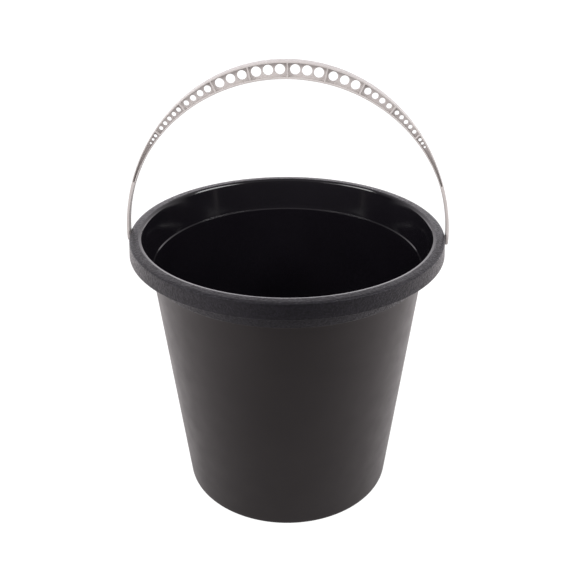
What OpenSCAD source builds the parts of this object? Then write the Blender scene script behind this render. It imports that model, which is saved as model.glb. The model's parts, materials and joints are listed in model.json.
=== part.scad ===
// Round plastic bucket with a perforated moulded carrying handle.
// The origin is at the centre of the foot, on the floor. Z is up and the handle's pivots lie along X.

/* [Pail] */
// Outside diameter at the lower edge of the rim skirt
rim_d = 299; // [290:1:310]
// Height of the rim above the floor that the pail stands on
pail_h = 276; // [250:1:300]
// Outside diameter of the wall where it meets the floor
base_d = 212; // [195:1:218]
// Thickness of the wall, floor and rim
wall = 1.6; // [1.4:0.1:2]
// Radius of the edge round the foot
foot_edge_r = 5.5; // [4:0.5:8]
// Height of the recess under the floor, inside the foot ring
floor_recess = 3; // [2:0.5:5]
// Width of the foot ring that the pail stands on
foot_ring_w = 4; // [3:0.5:6]

/* [Collar and rim] */
// Distance from the top of the rim down to the outer edge of the stacking step
step_drop = 31.8; // [28:0.1:36]
// Outside diameter of the stacking step
step_d = 265.8; // [259:0.1:267]
// How far the stacking step stands out from the wall below it
step_w = 3; // [2:0.1:4]
// Diameter of the smooth inner edge of the rim
lip_d = 276.4; // [272:0.1:280]
// Radius of the rounded inner edge of the rim
lip_r = 2; // [1:0.5:2.5]
// Fall of the rim's top from its crest to the ridge over the skirt
ridge_drop = 1; // [0.5:0.1:2]
// Height of the skirt that hangs down outside the rim
skirt_h = 15.6; // [13:0.1:16.5]
// How much wider the skirt is at its lower edge than at the ridge, on each side
skirt_flare = 1; // [0:0.1:1.5]

/* [Pivots] */
// Depth of the handle's pivot axis below the top of the rim
pivot_drop = 8; // [7.5:0.1:8.5]
// Diameter of the pegs on the handle's ends
peg_d = 6; // [5:0.1:6.5]
// Radial clearance of a peg in its hole
peg_clearance = 0.06; // [0.03:0.01:0.1]
// Diameter of the snap head that keeps a peg in its hole
head_d = 8.4; // [7.5:0.1:9]
// Length of the snap head
head_l = 4; // [3:0.5:4.5]
// Angle from the pivot to each of the two ribs that stiffen the rim beside it
rim_rib_angle = 5; // [4.5:0.5:7]

/* [Handle] */
// Gap between the rim skirt and the inside of the handle
handle_gap = 1; // [1:0.1:2]
// Depth of the handle at the top of its arch
arch_depth = 15.2; // [14:0.1:16]
// Thickness of the plain straps at the handle's ends
strap_t = 2.2; // [2:0.1:3]
// Width of the straps and flanges
handle_w = 10.4; // [10:0.1:12]
// Thickness of the handle's inner and outer flanges at the top of its arch
flange_t = 1.5; // [1.3:0.1:1.7]
// Thickness of the flanges where the web ends
flange_end_t = 0.9; // [0.8:0.05:1]
// Thickness of the perforated web between the flanges
web_t = 2; // [1.6:0.1:2.4]
// Angle at the pivot axis from the top of the arch to where the depth has tapered away
taper_angle = 83; // [80:1:86]
// Angle from the top of the arch to where the web ends and the strap is solid
web_angle = 69; // [66:1:70]
// Angle between neighbouring cross ribs
rib_pitch = 12.25; // [12:0.05:12.5]
// Thickness of the cross ribs
rib_t = 1.2; // [1:0.1:1.5]

/* [Hidden] */
// Each row is one bay between two ribs, from the top of the arch outwards:
// number of holes, angle to the first hole, pitch, first diameter, change of diameter
BAYS = [
    [3, 2.40, 3.77, 9.0, 0],
    [3, 2.35, 3.80, 8.3, 0],
    [4, 2.15, 2.82, 6.4, -0.5],
    [5, 1.85, 2.20, 4.2, -0.1],
    [3, 1.80, 1.55, 3.2, -0.5]
];

$fn = 180;
ARC_STEP = 15;
OUTLINE_STEP = 2;

rim_r = rim_d / 2;
ridge_r = rim_r - skirt_flare;
ridge_z = pail_h - ridge_drop;
skirt_z = pail_h - skirt_h;
skirt_edge_r = 0.6;
ridge_edge_r = 0.8;
crest_w = 2.5;

step_r = step_d / 2;
step_z = pail_h - step_drop;
step_fall = 2;
body_top_r = step_r - step_w;
base_r = base_d / 2;
foot_inner_r = base_r - foot_edge_r - foot_ring_w;

lip_inner_r = lip_d / 2 - 1.1;
collar_slope = (lip_inner_r - step_r + wall) / (step_drop - lip_r - wall);

pivot_z = pail_h - pivot_drop;
skirt_mid_r = ridge_r + skirt_flare * (pivot_drop - ridge_drop) / (skirt_h - ridge_drop);
hole_d = peg_d + 2 * peg_clearance;
head_gap = 0.9;
head_base_x = skirt_mid_r - wall - head_gap;
head_tip_d = head_d - 2.8;
snap_slot_w = 1.6;
shoulder_d = 9;
shoulder_gap = 0.5;
rim_rib_t = 1.6;
peg_root_x = rim_r + handle_gap + strap_t / 2;
shoulder_x = skirt_mid_r + shoulder_gap + skirt_flare / 2;

handle_in_r = rim_r + handle_gap;
rib_half_angle = rib_t / 2 / (handle_in_r + arch_depth / 2) * 180 / PI;
// The flanges' thickness is a share of the handle's depth plus a constant
flange_share = (flange_t - flange_end_t) / (arch_depth - depth(web_angle));
flange_base = flange_t - flange_share * arch_depth;

function polar(r, a) = [r * cos(a), r * sin(a)];
function arc(c, r, a0, a1) = [
    for (i = [0 : ceil(abs(a1 - a0) / ARC_STEP)])
        c + polar(r, a0 + (a1 - a0) * i / ceil(abs(a1 - a0) / ARC_STEP))
];

// Radial depth of the handle at an angle from the top of its arch
function depth(a) = strap_t + (abs(a) < taper_angle ? taper(a) : 0);
function taper(a) = (arch_depth - strap_t) * pow(cos(a * 90 / taper_angle), 2);
// A point of the handle at an angle from the top of its arch
function arch_point(r, a) = [r * sin(a), r * cos(a)];

// Half of the pail's wall, floor, collar and rim in section
module pail_profile() {
    outside = concat(
        [[0, floor_recess], [foot_inner_r - floor_recess / 2, floor_recess], [foot_inner_r, 0]],
        arc([base_r - foot_edge_r, foot_edge_r], foot_edge_r, -90, 0),
        [[body_top_r, step_z - step_fall], [step_r - 0.5, step_z - 0.3], [step_r, step_z + 0.4]],
        [[lip_inner_r + wall, pail_h - lip_r - wall], [lip_inner_r + 2 * wall, pail_h - wall - 0.4]],
        [[ridge_r - wall - 1, ridge_z - wall + 0.4], [ridge_r - wall, ridge_z - wall - 0.8]],
        [[rim_r - wall, skirt_z]],
        arc([rim_r - skirt_edge_r, skirt_z + skirt_edge_r], skirt_edge_r, -90, 0),
        arc([ridge_r - ridge_edge_r, ridge_z - ridge_edge_r], ridge_edge_r, 0, 80),
        [[lip_inner_r + lip_r + crest_w, pail_h]]
    );
    inside = concat(
        arc([lip_inner_r + lip_r, pail_h - lip_r], lip_r, 90, 180),
        [[step_r - wall + 0.1, step_z + wall + 0.6], [step_r - wall - 0.3, step_z + wall]],
        [[body_top_r - wall, step_z - step_fall + wall]],
        arc([base_r - foot_edge_r, floor_recess + wall + foot_edge_r - wall], foot_edge_r - wall, 0, -90),
        [[0, floor_recess + wall]]
    );
    polygon(concat(outside, inside));
}

// One rib under the rim that ties the skirt to the collar
module rim_rib() {
    rib_z = skirt_z + 2;
    intersection() {
        translate([step_r - 1, -rim_rib_t / 2, rib_z])
            cube([rim_r - step_r, rim_rib_t, ridge_z - wall / 2 - rib_z]);
        rotate([0, 0, -30])
            rotate_extrude(angle = 60)
                polygon([
                    [lip_inner_r + wall - 1 - collar_slope * (pail_h - lip_r - rib_z), rib_z],
                    [rim_r - wall / 2 - skirt_flare, rib_z],
                    [ridge_r - wall / 2, ridge_z - wall / 2],
                    [lip_inner_r + wall - 1, pail_h - wall - lip_r]
                ]);
    }
}

module pail() {
    color([0.17, 0.165, 0.165])
    difference() {
        union() {
            rotate_extrude() pail_profile();
            for (side = [0, 180], a = [-rim_rib_angle, rim_rib_angle])
                rotate([0, 0, side + a]) rim_rib();
        }
        for (side = [0, 180])
            rotate([0, 0, side])
                translate([skirt_mid_r - wall * 2, 0, pivot_z])
                    rotate([0, 90, 0]) cylinder(d = hole_d, h = wall * 4);
    }
}

// A band of the arch between two angles. lo and hi say where its edges run:
// each is [share of the depth, distance added], measured from the inside of the handle.
module arch_band(a0, a1, lo, hi) {
    n = ceil((a1 - a0) / OUTLINE_STEP);
    angles = [for (i = [0 : n]) a0 + (a1 - a0) * i / n];
    polygon(concat(
        [for (i = [0 : n]) arch_point(handle_in_r + hi[0] * depth(angles[i]) + hi[1], angles[i])],
        [for (i = [n : -1 : 0]) arch_point(handle_in_r + lo[0] * depth(angles[i]) + lo[1], angles[i])]
    ));
}

// Raises an outline in the arch's plane to a thickness that starts at a distance from that plane
module across(from, t) {
    rotate([90, 0, 0]) translate([0, 0, from]) linear_extrude(height = t) children();
}

// The pocket beside the web in one bay, on the side of the arch where angles are positive
module pocket(bay, face) {
    last = bay == len(BAYS) - 1;
    a0 = bay * rib_pitch + rib_half_angle;
    a1 = last ? web_angle : (bay + 1) * rib_pitch - rib_half_angle;
    from = face > 0 ? web_t / 2 : -handle_w / 2 - 1;
    across(from, (handle_w - web_t) / 2 + 1)
        arch_band(a0, a1, [flange_share, flange_base], [1 - flange_share, -flange_base]);
}

// The holes through the web in one bay
module web_holes(bay) {
    row = BAYS[bay];
    for (i = [0 : row[0] - 1]) {
        a = bay * rib_pitch + row[1] + i * row[2];
        p = arch_point(handle_in_r + depth(a) / 2, a);
        translate([p[0], 0, p[1]])
            rotate([90, 0, 0])
                cylinder(d = row[3] + i * row[4], h = web_t * 2, center = true);
    }
}

// The peg on one end, with its shoulder and its slotted snap head
module peg() {
    difference() {
        rotate([0, 90, 0]) {
            translate([0, 0, head_base_x])
                cylinder(d = peg_d, h = peg_root_x - head_base_x);
            translate([0, 0, shoulder_x])
                cylinder(d = shoulder_d, h = peg_root_x - shoulder_x);
            translate([0, 0, head_base_x - head_l])
                cylinder(d1 = head_tip_d, d2 = head_d, h = head_l);
        }
        translate([head_base_x - head_l - 1, -head_d, -snap_slot_w / 2])
            cube([head_l + 1 + head_gap / 2, head_d * 2, snap_slot_w]);
    }
}

module handle() {
    color([0.78, 0.765, 0.745])
    translate([0, 0, pivot_z])
    difference() {
        union() {
            across(-handle_w / 2, handle_w)
                arch_band(-90, 90, [0, 0], [1, 0]);
            for (side = [0, 180])
                rotate([0, 0, side]) {
                    translate([handle_in_r, 0, 0])
                        rotate([0, 90, 0]) cylinder(d = handle_w, h = strap_t);
                    peg();
                }
        }
        for (side = [0, 180], bay = [0 : len(BAYS) - 1])
            rotate([0, 0, side]) {
                pocket(bay, 1);
                pocket(bay, -1);
                web_holes(bay);
            }
    }
}

pail();
handle();
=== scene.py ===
"""A round plastic bucket and its perforated bail handle, with the camera, floor and studio light.

Lengths are in metres in the row frame: Z up from the floor, X along the handle's pivots.
"""

import json
import math

import bmesh
import bpy
from mathutils import Matrix, Vector


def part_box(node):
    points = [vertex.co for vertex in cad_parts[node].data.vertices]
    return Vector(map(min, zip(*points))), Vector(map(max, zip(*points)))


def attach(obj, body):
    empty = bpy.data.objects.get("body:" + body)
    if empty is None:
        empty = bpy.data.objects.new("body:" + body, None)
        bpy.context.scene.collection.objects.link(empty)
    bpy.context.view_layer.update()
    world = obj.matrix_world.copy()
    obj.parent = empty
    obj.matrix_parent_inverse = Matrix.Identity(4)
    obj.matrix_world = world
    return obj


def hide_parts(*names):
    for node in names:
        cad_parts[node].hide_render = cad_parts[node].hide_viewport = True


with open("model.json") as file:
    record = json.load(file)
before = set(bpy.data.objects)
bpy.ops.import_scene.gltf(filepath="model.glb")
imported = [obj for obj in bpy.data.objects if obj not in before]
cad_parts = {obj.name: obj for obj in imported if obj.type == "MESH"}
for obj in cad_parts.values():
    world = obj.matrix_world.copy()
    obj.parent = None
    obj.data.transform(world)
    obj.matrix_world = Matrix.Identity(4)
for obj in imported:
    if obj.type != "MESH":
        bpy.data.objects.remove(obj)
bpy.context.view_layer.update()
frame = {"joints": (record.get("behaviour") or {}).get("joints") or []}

MM = 0.001

# Sizes that the frame gives
PAIL_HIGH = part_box("pail")[1]
HANDLE_LOW, HANDLE_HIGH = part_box("handle")
RIM_R = PAIL_HIGH.x
PAIL_H = PAIL_HIGH.z
PIVOT_Z = frame["joints"][0]["pos_m"][2]
HANDLE_W = HANDLE_HIGH.y - HANDLE_LOW.y
STRAP_OUT_R = HANDLE_HIGH.x
ARCH_TOP_R = HANDLE_HIGH.z - PIVOT_Z


# ---------------------------------------------------------------- mesh helpers

ARC_STEP = math.radians(12)
SHARP_ANGLE = math.radians(35)
PLATE_EDGE_STEPS = 3
WELD_DISTANCE = 0.002 * MM
ON_AXIS = 1e-7


def direction(azimuth, elevation):
    """The unit vector towards a place seen from the bucket. Azimuth runs from the front to the right."""
    return Vector((
        math.sin(azimuth) * math.cos(elevation),
        -math.cos(azimuth) * math.cos(elevation),
        math.sin(elevation),
    ))


def rounded(corners):
    """An open outline in 2D through corners (a, b, radius), each rounded by an arc of that radius."""
    points = []
    for i, (a, b, radius) in enumerate(corners):
        here = Vector((a, b))
        if radius <= 0:
            points.append(here)
            continue
        before = (Vector(corners[i - 1][:2]) - here).normalized()
        after = (Vector(corners[i + 1][:2]) - here).normalized()
        half = before.angle(after) / 2
        reach = radius / math.tan(half)
        centre = here + (before + after).normalized() * (radius / math.sin(half))
        start = here + before * reach - centre
        end = here + after * reach - centre
        sweep = start.angle_signed(end)
        count = max(2, math.ceil(abs(sweep) / ARC_STEP))
        for k in range(count + 1):
            turned = Matrix.Rotation(-sweep * k / count, 2) @ start
            points.append(centre + turned)
    return points


def divided(points, longest):
    """The same outline with no stretch longer than a given length."""
    out = [points[0]]
    for a, b in zip(points, points[1:]):
        count = max(1, math.ceil((b - a).length / longest))
        out += [a.lerp(b, k / count) for k in range(1, count + 1)]
    return out


def new_object(name, data):
    obj = bpy.data.objects.new(name, data)
    bpy.context.scene.collection.objects.link(obj)
    return obj


def object_of(name, bm):
    """An object of a bmesh, which is used up."""
    mesh = bpy.data.meshes.new(name)
    bm.to_mesh(mesh)
    bm.free()
    return new_object(name, mesh)


def joined(name, parts):
    """One object of several bmeshes, which are used up."""
    bm = bmesh.new()
    for part in parts:
        mesh = bpy.data.meshes.new(name)
        part.to_mesh(mesh)
        part.free()
        bm.from_mesh(mesh)
    bmesh.ops.recalc_face_normals(bm, faces=bm.faces)
    return object_of(name, bm)


def final_mesh(obj):
    """What an object's modifiers or curve settings make of it."""
    bpy.context.view_layer.update()
    evaluated = obj.evaluated_get(bpy.context.evaluated_depsgraph_get())
    return bpy.data.meshes.new_from_object(evaluated)


def boolean(obj, other, operation):
    """Adds another object to this one or cuts it away. The other object is used up."""
    modifier = obj.modifiers.new(operation, "BOOLEAN")
    modifier.operation = operation
    modifier.solver = "EXACT"
    modifier.object = other
    mesh = final_mesh(obj)
    obj.modifiers.clear()
    obj.data = mesh
    bpy.data.objects.remove(other)


def smooth(obj):
    obj.data.polygons.foreach_set("use_smooth", [True] * len(obj.data.polygons))
    obj.data.set_sharp_from_angle(angle=SHARP_ANGLE)


def plate(name, outlines, half_thickness, edge_r):
    """A flat plate in the XZ plane with round edges. outlines are closed, and the inner ones are holes."""
    curve = bpy.data.curves.new(name, "CURVE")
    curve.dimensions = "2D"
    curve.fill_mode = "BOTH"
    curve.extrude = half_thickness - edge_r
    curve.bevel_depth = edge_r
    curve.bevel_resolution = PLATE_EDGE_STEPS
    curve.offset = -edge_r
    for outline in outlines:
        spline = curve.splines.new("POLY")
        spline.points.add(len(outline) - 1)
        for point, (x, z) in zip(spline.points, outline):
            point.co = (x, z, 0, 1)
        spline.use_cyclic_u = True
    source = new_object(name + "_outline", curve)
    mesh = final_mesh(source)
    bpy.data.objects.remove(source)
    bm = bmesh.new()
    bm.from_mesh(mesh)
    bmesh.ops.remove_doubles(bm, verts=bm.verts, dist=WELD_DISTANCE)
    bmesh.ops.recalc_face_normals(bm, faces=bm.faces)
    bm.transform(Matrix.Rotation(math.pi / 2, 4, "X"))
    return object_of(name, bm)


def lathe(points, segments, close=False):
    """Turns an outline of (radius, height) about Z, and also gives the faces of each stretch.

    Points on the axis become one vertex. close fills the circles at both ends.
    """
    bm = bmesh.new()
    rings = []
    for radius, height in points:
        if radius < ON_AXIS:
            rings.append([bm.verts.new((0, 0, height))])
            continue
        ring = []
        for k in range(segments):
            a = 2 * math.pi * k / segments
            ring.append(bm.verts.new((radius * math.cos(a), radius * math.sin(a), height)))
        rings.append(ring)
    bands = []
    for lower, upper in zip(rings, rings[1:]):
        band = []
        for k in range(segments):
            n = (k + 1) % segments
            if len(lower) == 1:
                band.append(bm.faces.new((lower[0], upper[n], upper[k])))
            elif len(upper) == 1:
                band.append(bm.faces.new((lower[k], lower[n], upper[0])))
            else:
                band.append(bm.faces.new((lower[k], lower[n], upper[n], upper[k])))
        bands.append(band)
    if close:
        bm.faces.new(list(reversed(rings[0])))
        bm.faces.new(rings[-1])
    return bm, bands


# ---------------------------------------------------------------- camera

# The camera is placed from the middle of the rim, and aims at a point in the plane of the handle
CAMERA_AZIMUTH = math.radians(2.07)
CAMERA_ELEVATION = math.radians(23.3)
CAMERA_DISTANCE = 0.790
CAMERA_AIM = Vector((0.022, 0, 0.1884))
CAMERA_ROLL = math.radians(0.73)
LENS_MM = 51.64
SENSOR_MM = 36
# The picture's centre is this share of its width to the left of the lens's axis, and as much above it
FRAME_SHIFT = 0.039


def make_camera():
    data = bpy.data.cameras.new("camera")
    data.lens = LENS_MM
    data.sensor_width = SENSOR_MM
    data.shift_x = -FRAME_SHIFT
    data.shift_y = FRAME_SHIFT
    camera = new_object("camera", data)
    away = direction(CAMERA_AZIMUTH, CAMERA_ELEVATION)
    camera.location = Vector((0, 0, PAIL_H)) + away * CAMERA_DISTANCE
    level = (CAMERA_AIM - camera.location).to_track_quat("-Z", "Y").to_matrix()
    camera.rotation_euler = (level @ Matrix.Rotation(CAMERA_ROLL, 3, "Z")).to_euler()
    bpy.context.scene.camera = camera


# ---------------------------------------------------------------- pail

PAIL_SEGMENTS = 360
LONGEST_STRETCH = 4 * MM

# Foot, body and step
WALL = 1.6 * MM
BASE_R = 106 * MM
FOOT_EDGE_R = 5.5 * MM
FOOT_INNER_R = 96.5 * MM
FOOT_RING_EDGE_R = 0.6 * MM
FLOOR_RECESS = 3 * MM
STEP_R = 132.9 * MM
STEP_W = 3 * MM
STEP_FALL = 2 * MM
STEP_Z = PAIL_H - 31.8 * MM
BODY_TOP_R = STEP_R - STEP_W

# Sloped ledge on the inside of the step
LEDGE_W = 0.9 * MM
LEDGE_TOP_Z = STEP_Z + WALL + 0.1 * MM
LEDGE_LOW_Z = STEP_Z + WALL - 0.9 * MM

# Lip, top of the rim and skirt
LIP_INNER_R = 137.1 * MM
LIP_CHAMFER = 0.7 * MM
LIP_CHAMFER_H = 1.6 * LIP_CHAMFER
LIP_FALL = 0.6 * MM
CREST_R = LIP_INNER_R + 3.2 * MM
RIDGE_R = RIM_R - 1 * MM
RIDGE_Z = PAIL_H - 1 * MM
SHOULDER_R = RIDGE_R - 2.8 * MM
SHOULDER_Z = PAIL_H - 0.35 * MM
SKIRT_Z = PAIL_H - 15.6 * MM

# Small ribs under the rim, on both sides of each pivot by an angle in degrees
RIM_RIB_T = 1.6 * MM
RIM_RIB_ANGLE = 5
RIM_RIB_LOW_Z = SKIRT_Z + 2 * MM
RIM_RIB_LEAN = 0.7 * MM

# Pegs and the holes in the skirt that they turn in, from near to far from the middle of the bucket
PEG_R = 3 * MM
PEG_CLEARANCE = 0.06 * MM
PEG_HOLE_R = PEG_R + PEG_CLEARANCE
PEG_HOLE_SIDES = 64
PEG_HOLE_NEAR = 141 * MM
PEG_HOLE_FAR = 160 * MM

# Faces of the pail are sorted into three finishes, and the rim's begins a little below the step
OUTSIDE, RIM, INSIDE = 0, 1, 2
RIM_FINISH_Z = STEP_Z - 0.5 * MM


def pail_outline():
    """The section from the middle of the foot, over the rim to the middle of the floor.

    It comes with the finish of each of its stretches. Corners are (radius, height, rounding).
    """
    slope = (BODY_TOP_R - BASE_R) / (STEP_Z - STEP_FALL - FOOT_EDGE_R)
    foot_r = BASE_R - slope * FOOT_EDGE_R
    body = [
        (0, FLOOR_RECESS, 0),
        (FOOT_INNER_R - FLOOR_RECESS / 2, FLOOR_RECESS, FOOT_RING_EDGE_R),
        (FOOT_INNER_R, 0, FOOT_RING_EDGE_R),
        (foot_r, 0, FOOT_EDGE_R),
        (BODY_TOP_R, STEP_Z - STEP_FALL, 1.2 * MM),
        (STEP_R, STEP_Z, 0.7 * MM),
    ]
    rim = [
        (LIP_INNER_R + WALL, PAIL_H - 2 * WALL, 1.6 * MM),
        (LIP_INNER_R + WALL + 1.5 * MM, PAIL_H - WALL, 1 * MM),
        (RIDGE_R - WALL, RIDGE_Z - WALL, 1 * MM),
        (RIM_R - WALL, SKIRT_Z, 0.5 * MM),
        (RIM_R, SKIRT_Z, 0.6 * MM),
        (RIDGE_R, RIDGE_Z, 0.9 * MM),
        (SHOULDER_R, SHOULDER_Z, 6 * MM),
        (CREST_R, PAIL_H, 4 * MM),
        (LIP_INNER_R + LIP_CHAMFER, PAIL_H - LIP_FALL, 0.4 * MM),
        (LIP_INNER_R, PAIL_H - LIP_FALL - LIP_CHAMFER_H, 0.4 * MM),
    ]
    inside = [
        (BODY_TOP_R - WALL + LEDGE_W, LEDGE_TOP_Z, 0.4 * MM),
        (BODY_TOP_R - WALL, LEDGE_LOW_Z, 0.15 * MM),
        (foot_r - WALL, FLOOR_RECESS + WALL, FOOT_EDGE_R - WALL),
        (0, FLOOR_RECESS + WALL, 0),
    ]
    points = divided(rounded(body + rim + inside), LONGEST_STRETCH)
    finishes = []
    for i, (a, b) in enumerate(zip(points, points[1:])):
        finishes.append(finish_at((a + b) / 2, i > len(points) / 2))
    return points, finishes


def finish_at(middle, second_half):
    """The finish of a stretch. The outline's second half goes from the rim down the inside."""
    radius, height = middle
    if second_half and radius < CREST_R:
        return INSIDE
    if height > RIM_FINISH_Z:
        return RIM
    return OUTSIDE


def rim_rib(angle):
    """One rib under the rim, from the collar to the skirt."""
    high = RIDGE_Z - WALL / 2
    collar_lean = (LIP_INNER_R - STEP_R) / (PAIL_H - STEP_Z)
    far = RIDGE_R - WALL / 2
    near = LIP_INNER_R + WALL / 2
    corners = (
        (near - collar_lean * (high - RIM_RIB_LOW_Z), RIM_RIB_LOW_Z),
        (far + RIM_RIB_LEAN, RIM_RIB_LOW_Z),
        (far, high),
        (near, high),
    )
    bm = bmesh.new()
    sides = [[bm.verts.new((x, y, z)) for x, z in corners] for y in (-RIM_RIB_T / 2, RIM_RIB_T / 2)]
    bm.faces.new(sides[0])
    bm.faces.new(list(reversed(sides[1])))
    for k in range(4):
        n = (k + 1) % 4
        bm.faces.new((sides[0][n], sides[0][k], sides[1][k], sides[1][n]))
    bm.transform(Matrix.Rotation(math.radians(angle), 4, "Z"))
    return bm


def peg_hole(side):
    """The bar along X that cuts a peg's hole in the skirt."""
    outline = [(PEG_HOLE_R, side * PEG_HOLE_NEAR), (PEG_HOLE_R, side * PEG_HOLE_FAR)]
    bm, _ = lathe(outline, PEG_HOLE_SIDES, close=True)
    bm.transform(Matrix.Rotation(math.pi / 2, 4, "Y"))
    return bm


def make_pail(materials):
    points, finishes = pail_outline()
    bm, bands = lathe(points, PAIL_SEGMENTS)
    for band, finish in zip(bands, finishes):
        for face in band:
            face.material_index = finish
    bmesh.ops.recalc_face_normals(bm, faces=bm.faces)
    pail = object_of("pail_moulding", bm)
    for material in materials:
        pail.data.materials.append(material)
    ribs = [rim_rib(pivot + a) for pivot in (0, 180) for a in (-RIM_RIB_ANGLE, RIM_RIB_ANGLE)]
    boolean(pail, joined("ribs", ribs), "UNION")
    holes = joined("holes", [peg_hole(side) for side in (-1, 1)])
    holes.location.z = PIVOT_Z
    boolean(pail, holes, "DIFFERENCE")
    smooth(pail)
    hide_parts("pail")
    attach(pail, "pail")


# ---------------------------------------------------------------- handle

STRAP_T = 2.2 * MM
WEB_T = 2 * MM
ARCH_IN_R = STRAP_OUT_R - STRAP_T
ARCH_DEPTH = ARCH_TOP_R - ARCH_IN_R
# The flanges are this thick at the top of the arch and where the web ends
FLANGE_T = 1.5 * MM
FLANGE_END_T = 0.9 * MM
RIB_T = 1.2 * MM
HANDLE_EDGE_R = 0.3 * MM
WEB_EDGE_R = 0.2 * MM

# Degrees from the top of the arch: to the end of its taper, to the end of the web, from rib to rib,
# that the web goes on into the solid ends, and from point to point of an outline
TAPER_ANGLE = 83
WEB_ANGLE = 69
RIB_PITCH = 12.25
WEB_OVERLAP = 2
ARCH_STEP = 1.0

# Each bay between two ribs, from the top outwards:
# number of holes, angle to the first, pitch in degrees, first diameter in mm, change of diameter in mm
BAYS = (
    (3, 2.40, 3.77, 9.0, 0),
    (3, 2.35, 3.80, 8.3, 0),
    (4, 2.15, 2.82, 6.4, -0.5),
    (5, 1.85, 2.20, 4.2, -0.1),
    (3, 1.80, 1.55, 3.2, -0.5),
)
HOLE_SIDES = 48

# Round end of each strap, which reaches this far above the pivot into the arch
STRAP_END_H = 6 * MM
STRAP_END_STEPS = 32

# Boss and slotted snap head of each peg. The values in X are distances from the middle of the bucket.
BOSS_R = 4.5 * MM
BOSS_X = 150 * MM
SNAP_R = 4.2 * MM
SNAP_TIP_R = 2.8 * MM
SNAP_BACK_X = 146.5 * MM
SNAP_TIP_X = SNAP_BACK_X - 4 * MM
SNAP_SLOT_W = 1.6 * MM
SNAP_SLOT_BACK_X = SNAP_BACK_X + 0.45 * MM
SNAP_SLOT_TIP_X = SNAP_TIP_X - 1 * MM
SNAP_SLOT_H = 16 * MM
PEG_SIDES = 48


def depth(degrees):
    """Radial depth of the handle at an angle from the top of its arch."""
    if abs(degrees) >= TAPER_ANGLE:
        return STRAP_T
    return STRAP_T + (ARCH_DEPTH - STRAP_T) * math.cos(math.radians(degrees * 90 / TAPER_ANGLE)) ** 2


def arch_point(radius, degrees):
    a = math.radians(degrees)
    return (radius * math.sin(a), radius * math.cos(a))


def arch_band(first, last, low, high):
    """A closed outline of part of the arch. low and high are (share of the depth, distance added)."""
    count = max(2, math.ceil((last - first) / ARCH_STEP))
    angles = [first + (last - first) * i / count for i in range(count + 1)]
    outer = [arch_point(ARCH_IN_R + high[0] * depth(a) + high[1], a) for a in angles]
    inner = [arch_point(ARCH_IN_R + low[0] * depth(a) + low[1], a) for a in reversed(angles)]
    return outer + inner


def pockets():
    """The outlines of the openings between flanges and ribs, on both sides of the arch's top."""
    half_rib = math.degrees(RIB_T / 2 / (ARCH_IN_R + ARCH_DEPTH / 2))
    share = (FLANGE_T - FLANGE_END_T) / (ARCH_DEPTH - depth(WEB_ANGLE))
    base = FLANGE_T - share * ARCH_DEPTH
    outlines = []
    for bay in range(len(BAYS)):
        first = bay * RIB_PITCH + half_rib
        last = WEB_ANGLE if bay == len(BAYS) - 1 else (bay + 1) * RIB_PITCH - half_rib
        outlines.append(arch_band(first, last, (share, base), (1 - share, -base)))
        outlines.append(arch_band(-last, -first, (share, base), (1 - share, -base)))
    return outlines


def web_holes():
    """The outlines of the round holes, in the middle of the web's depth."""
    turns = [2 * math.pi * k / HOLE_SIDES for k in range(HOLE_SIDES)]
    outlines = []
    for bay, (count, first, pitch, diameter, change) in enumerate(BAYS):
        for i in range(count):
            radius = (diameter + i * change) / 2 * MM
            for side in (-1, 1):
                degrees = side * (bay * RIB_PITCH + first + i * pitch)
                x, z = arch_point(ARCH_IN_R + depth(degrees) / 2, degrees)
                outlines.append([(x + radius * math.cos(t), z + radius * math.sin(t)) for t in turns])
    return outlines


def strap_end(side):
    """The end of a strap: a plate across X with half a circle below the pivot."""
    half_w = HANDLE_W / 2
    turns = [math.pi * k / STRAP_END_STEPS for k in range(STRAP_END_STEPS + 1)]
    outline = [(-half_w * math.cos(t), -half_w * math.sin(t)) for t in turns]
    outline += [(half_w, STRAP_END_H), (-half_w, STRAP_END_H)]
    end = plate("strap_end", [outline], STRAP_T / 2, HANDLE_EDGE_R)
    end.data.transform(Matrix.Rotation(math.pi / 2, 4, "Z"))
    end.data.transform(Matrix.Translation((side * (ARCH_IN_R + STRAP_T / 2), 0, 0)))
    return end


def snap_slot(side):
    """The block that cuts the slot in a snap head."""
    place = Matrix.Translation((side * (SNAP_SLOT_TIP_X + SNAP_SLOT_BACK_X) / 2, 0, 0))
    size = Matrix.Diagonal((SNAP_SLOT_BACK_X - SNAP_SLOT_TIP_X, SNAP_SLOT_H, SNAP_SLOT_W, 1))
    bm = bmesh.new()
    bmesh.ops.create_cube(bm, size=1, matrix=place @ size)
    return bm


def peg(side):
    """A peg with its boss and snap head, as an outline turned about X."""
    root = ARCH_IN_R + STRAP_T / 2
    outline = rounded([
        (0, SNAP_TIP_X, 0),
        (SNAP_TIP_R, SNAP_TIP_X, 0.4 * MM),
        (SNAP_R, SNAP_BACK_X, 0.3 * MM),
        (PEG_R, SNAP_BACK_X, 0.2 * MM),
        (PEG_R, BOSS_X, 0.2 * MM),
        (BOSS_R, BOSS_X, 0.3 * MM),
        (BOSS_R, root, 0),
        (0, root, 0),
    ])
    bm, _ = lathe(outline, PEG_SIDES)
    bm.transform(Matrix.Rotation(math.pi / 2, 4, "Y"))
    if side < 0:
        bm.transform(Matrix.Rotation(math.pi, 4, "Z"))
    pin = joined("peg", [bm])
    boolean(pin, joined("slot", [snap_slot(side)]), "DIFFERENCE")
    return pin


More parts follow.
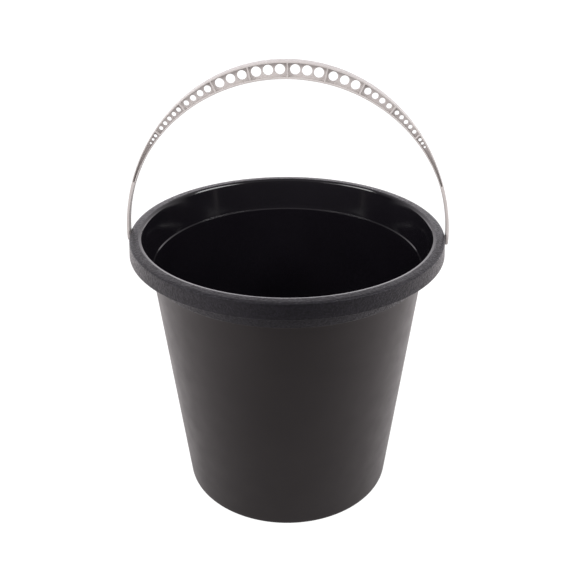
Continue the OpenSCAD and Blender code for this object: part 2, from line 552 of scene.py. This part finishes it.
def make_handle(material):
    whole = arch_band(-90, 90, (0, 0), (1, 0))
    beam = plate("handle_moulding", [whole] + pockets(), HANDLE_W / 2, HANDLE_EDGE_R)
    inset = FLANGE_END_T / 2
    end = WEB_ANGLE + WEB_OVERLAP
    middle = arch_band(-end, end, (0, inset), (1, -inset))
    boolean(beam, plate("web", [middle] + web_holes(), WEB_T / 2, WEB_EDGE_R), "UNION")
    for side in (-1, 1):
        boolean(beam, strap_end(side), "UNION")
        boolean(beam, peg(side), "UNION")
    beam.data.transform(Matrix.Translation((0, 0, PIVOT_Z)))
    beam.data.materials.clear()
    beam.data.materials.append(material)
    smooth(beam)
    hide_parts("handle")
    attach(beam, "handle")


# ---------------------------------------------------------------- materials


class Nodes:
    """A node tree, of a new material or of the world, with short calls to add and join nodes."""

    def __init__(self, name, world=None):
        self.material = world or bpy.data.materials.new(name)
        self.material.use_nodes = True
        self.tree = self.material.node_tree
        self.shader = self.tree.nodes["Background" if world else "Principled BSDF"]
        self.place = self.add("ShaderNodeTexCoord").outputs["Generated" if world else "Object"]

    def add(self, kind, **settings):
        node = self.tree.nodes.new(kind)
        for name, value in settings.items():
            setattr(node, name, value)
        return node

    def link(self, a, b):
        self.tree.links.new(a, b)

    def feed(self, name, socket):
        """Drives an input of the shader."""
        self.link(socket, self.shader.inputs[name])

    def set(self, name, value):
        """Gives an input of the shader a uniform value."""
        self.shader.inputs[name].default_value = value

    def noise(self, scale, detail=2.0, roughness=0.5, stretch=(1, 1, 1)):
        mapping = self.add("ShaderNodeMapping")
        mapping.inputs["Scale"].default_value = stretch
        self.link(self.place, mapping.inputs["Vector"])
        node = self.add("ShaderNodeTexNoise")
        node.inputs["Scale"].default_value = scale
        node.inputs["Detail"].default_value = detail
        node.inputs["Roughness"].default_value = roughness
        self.link(mapping.outputs["Vector"], node.inputs["Vector"])
        return node.outputs["Fac"]

    def ramp(self, factor, low, high, start=0.3, end=0.7):
        """Goes from low to high while the factor goes from start to end."""
        node = self.add("ShaderNodeMapRange")
        node.inputs["From Min"].default_value = start
        node.inputs["From Max"].default_value = end
        node.inputs["To Min"].default_value = low
        node.inputs["To Max"].default_value = high
        self.link(factor, node.inputs["Value"])
        return node.outputs["Result"]

    def colours(self, factor, dark, light):
        node = self.add("ShaderNodeMix", data_type="RGBA")
        node.inputs["A"].default_value = (*dark, 1)
        node.inputs["B"].default_value = (*light, 1)
        self.link(factor, node.inputs["Factor"])
        return node.outputs["Result"]

    def blend(self, factor, first, last):
        """A number that goes from one to another, each a socket or a plain value."""
        node = self.add("ShaderNodeMix")
        self.link(factor, node.inputs["Factor"])
        for name, value in (("A", first), ("B", last)):
            if isinstance(value, bpy.types.NodeSocket):
                self.link(value, node.inputs[name])
            else:
                node.inputs[name].default_value = value
        return node.outputs["Result"]

    def bump(self, height, distance, strength=1.0, under=None):
        node = self.add("ShaderNodeBump")
        node.inputs["Distance"].default_value = distance
        node.inputs["Strength"].default_value = strength
        self.link(height, node.inputs["Height"])
        if under is not None:
            self.link(under, node.inputs["Normal"])
        return node.outputs["Normal"]

    def axes(self, vector):
        split = self.add("ShaderNodeSeparateXYZ")
        self.link(vector, split.inputs["Vector"])
        return split.outputs

    def shine(self, reflected, diffuse, tint, colour="Color", strength="Strength"):
        """Plain white to the camera. To other rays a tint, as strong as the kind of ray says."""
        rays = self.add("ShaderNodeLightPath").outputs
        seen = rays["Is Camera Ray"]
        around = self.blend(rays["Is Diffuse Ray"], reflected, diffuse)
        self.feed(colour, self.colours(seen, tint, (1, 1, 1)))
        self.feed(strength, self.blend(seen, around, 1.0))


def outside_plastic():
    n = Nodes("pail_outside")
    cloud = n.ramp(n.noise(18, detail=3), 0, 1)
    n.feed("Base Color", n.colours(cloud, (0.0066, 0.0060, 0.0061), (0.0090, 0.0082, 0.0082)))
    n.feed("Roughness", n.ramp(n.noise(60, detail=4), 0.36, 0.43))
    grain = n.bump(n.noise(1400), 0.02 * MM, 0.5)
    waves = n.noise(9, detail=1, stretch=(1, 1, 0.3))
    n.feed("Normal", n.bump(waves, 0.5 * MM, 0.25, under=grain))
    n.set("Specular Tint", (1, 0.91, 0.92, 1))
    return n.material


def rim_plastic():
    n = Nodes("pail_rim")
    grain = n.noise(480, roughness=0.9)
    # The low points of the grain are painted nearly black in the base colour: painted shade in the
    # recesses of the texture. They are also made rougher.
    shaded_pits = n.ramp(grain, 0, 1, start=0.40, end=0.60)
    n.feed("Base Color", n.colours(shaded_pits, (0.0002, 0.0001, 0.0004), (0.0076, 0.0067, 0.0098)))
    n.feed("Roughness", n.ramp(shaded_pits, 0.50, 0.28, start=0, end=1))
    n.feed("Normal", n.bump(grain, 0.6 * MM))
    n.set("Specular Tint", (0.94, 0.915, 1, 1))
    return n.material


def inside_plastic():
    n = Nodes("pail_inside")
    cloud = n.ramp(n.noise(14), 0, 1)
    n.feed("Base Color", n.colours(cloud, (0.0064, 0.0056, 0.0076), (0.0084, 0.0074, 0.0098)))
    n.feed("Roughness", n.ramp(n.noise(40, detail=3, stretch=(1, 1, 0.2)), 0.10, 0.14))
    n.feed("Normal", n.bump(n.noise(30, stretch=(1, 1, 0.15)), 0.1 * MM, 0.15))
    return n.material


def handle_plastic():
    n = Nodes("handle_plastic")
    cloud = n.ramp(n.noise(70, detail=3), 0, 1)
    n.feed("Base Color", n.colours(cloud, (0.53, 0.497, 0.475), (0.57, 0.537, 0.515)))
    n.feed("Roughness", n.ramp(n.noise(200, detail=3), 0.38, 0.48))
    n.feed("Normal", n.bump(n.noise(500), 0.01 * MM, 0.3))
    return n.material


# ---------------------------------------------------------------- studio

FLOOR_R = 30
FLOOR_SIDES = 96

# Strength of the floor's light in reflections: in front close by, straight in front further off, to the
# left and to the right of that, and behind the bucket. Diffuse rays meet the last one all round.
FLOOR_GLOW_NEAR = 0.34
FLOOR_GLOW_FAR = 0.0
FLOOR_GLOW_LEFT = 0.65
FLOOR_GLOW_RIGHT = 0.2
FLOOR_GLOW_BACK = 1.25
FLOOR_GLOW_SOFT = 0.60

# Light boxes: name, azimuth in degrees from the front, power in watts
BOXES = (
    ("left_box", -58, 11),
    ("right_box", 68, 13),
)
BOX_ELEVATION = 38
BOX_DISTANCE = 1.6
BOX_W = 1.1
BOX_H = 0.4
BOX_AIM = Vector((0, 0, 0.2))

# Diffuse light from the world comes mostly from the front and the left
SOFT_LIGHT_FROM = (-0.6, -0.8, 0)


def floor_surface():
    """White to the camera, with its own brightness on each side of the bucket in reflections."""
    n = Nodes("floor")
    cloud = n.ramp(n.noise(3, detail=3), 0, 1)
    n.feed("Base Color", n.colours(cloud, (0.10, 0.10, 0.10), (0.12, 0.12, 0.12)))
    n.set("Roughness", 0.7)
    distance = n.add("ShaderNodeVectorMath", operation="LENGTH")
    n.link(n.place, distance.inputs[0])
    outward = n.add("ShaderNodeVectorMath", operation="NORMALIZE")
    n.link(n.place, outward.inputs[0])
    axes = n.axes(outward.outputs["Vector"])
    far = n.add("ShaderNodeMath", operation="MAXIMUM")
    n.link(n.ramp(axes["X"], FLOOR_GLOW_LEFT, FLOOR_GLOW_FAR, start=-0.55, end=-0.20), far.inputs[0])
    n.link(n.ramp(axes["X"], FLOOR_GLOW_FAR, FLOOR_GLOW_RIGHT, start=0.40, end=0.85), far.inputs[1])
    away = n.ramp(distance.outputs["Value"], 0, 1, start=0.3, end=0.7)
    front = n.blend(away, FLOOR_GLOW_NEAR, far.outputs[0])
    around = n.blend(n.ramp(axes["Y"], 0, 1, start=-1, end=0.6), front, FLOOR_GLOW_BACK)
    n.shine(around, FLOOR_GLOW_SOFT, (1, 0.945, 0.95), "Emission Color", "Emission Strength")
    return n.material


def make_floor():
    bm = bmesh.new()
    bmesh.ops.create_circle(bm, cap_ends=True, segments=FLOOR_SIDES, radius=FLOOR_R)
    floor = object_of("floor", bm)
    floor.data.materials.append(floor_surface())


def light_box(name, azimuth, power):
    data = bpy.data.lights.new(name, "AREA")
    data.shape = "RECTANGLE"
    data.size = BOX_W
    data.size_y = BOX_H
    data.energy = power
    light = new_object(name, data)
    away = direction(math.radians(azimuth), math.radians(BOX_ELEVATION))
    light.location = BOX_AIM + away * BOX_DISTANCE
    light.rotation_euler = (-away).to_track_quat("-Z", "Y").to_euler()


def make_world():
    """A room that is dim in reflections, but for a backdrop that is bright near the floor."""
    world = bpy.data.worlds.new("studio")
    bpy.context.scene.world = world
    n = Nodes("studio", world)
    axes = n.axes(n.place)
    room = n.ramp(axes["Z"], 0.03, 0.40, start=0.1, end=0.8)
    backdrop = n.ramp(axes["Z"], 1.9, 0.18, start=0.22, end=0.70)
    around = n.blend(n.ramp(axes["Y"], 0, 1, start=0, end=0.8), room, backdrop)
    side = n.add("ShaderNodeVectorMath", operation="DOT_PRODUCT")
    n.link(n.place, side.inputs[0])
    side.inputs[1].default_value = SOFT_LIGHT_FROM
    soft = n.ramp(side.outputs["Value"], 0, 1.15, start=-0.7, end=0.8)
    n.shine(around, soft, (1, 0.96, 1))


make_camera()
make_pail([outside_plastic(), rim_plastic(), inside_plastic()])
make_handle(handle_plastic())
make_floor()
for box in BOXES:
    light_box(*box)
make_world()
bpy.context.scene.view_settings.view_transform = "Standard"
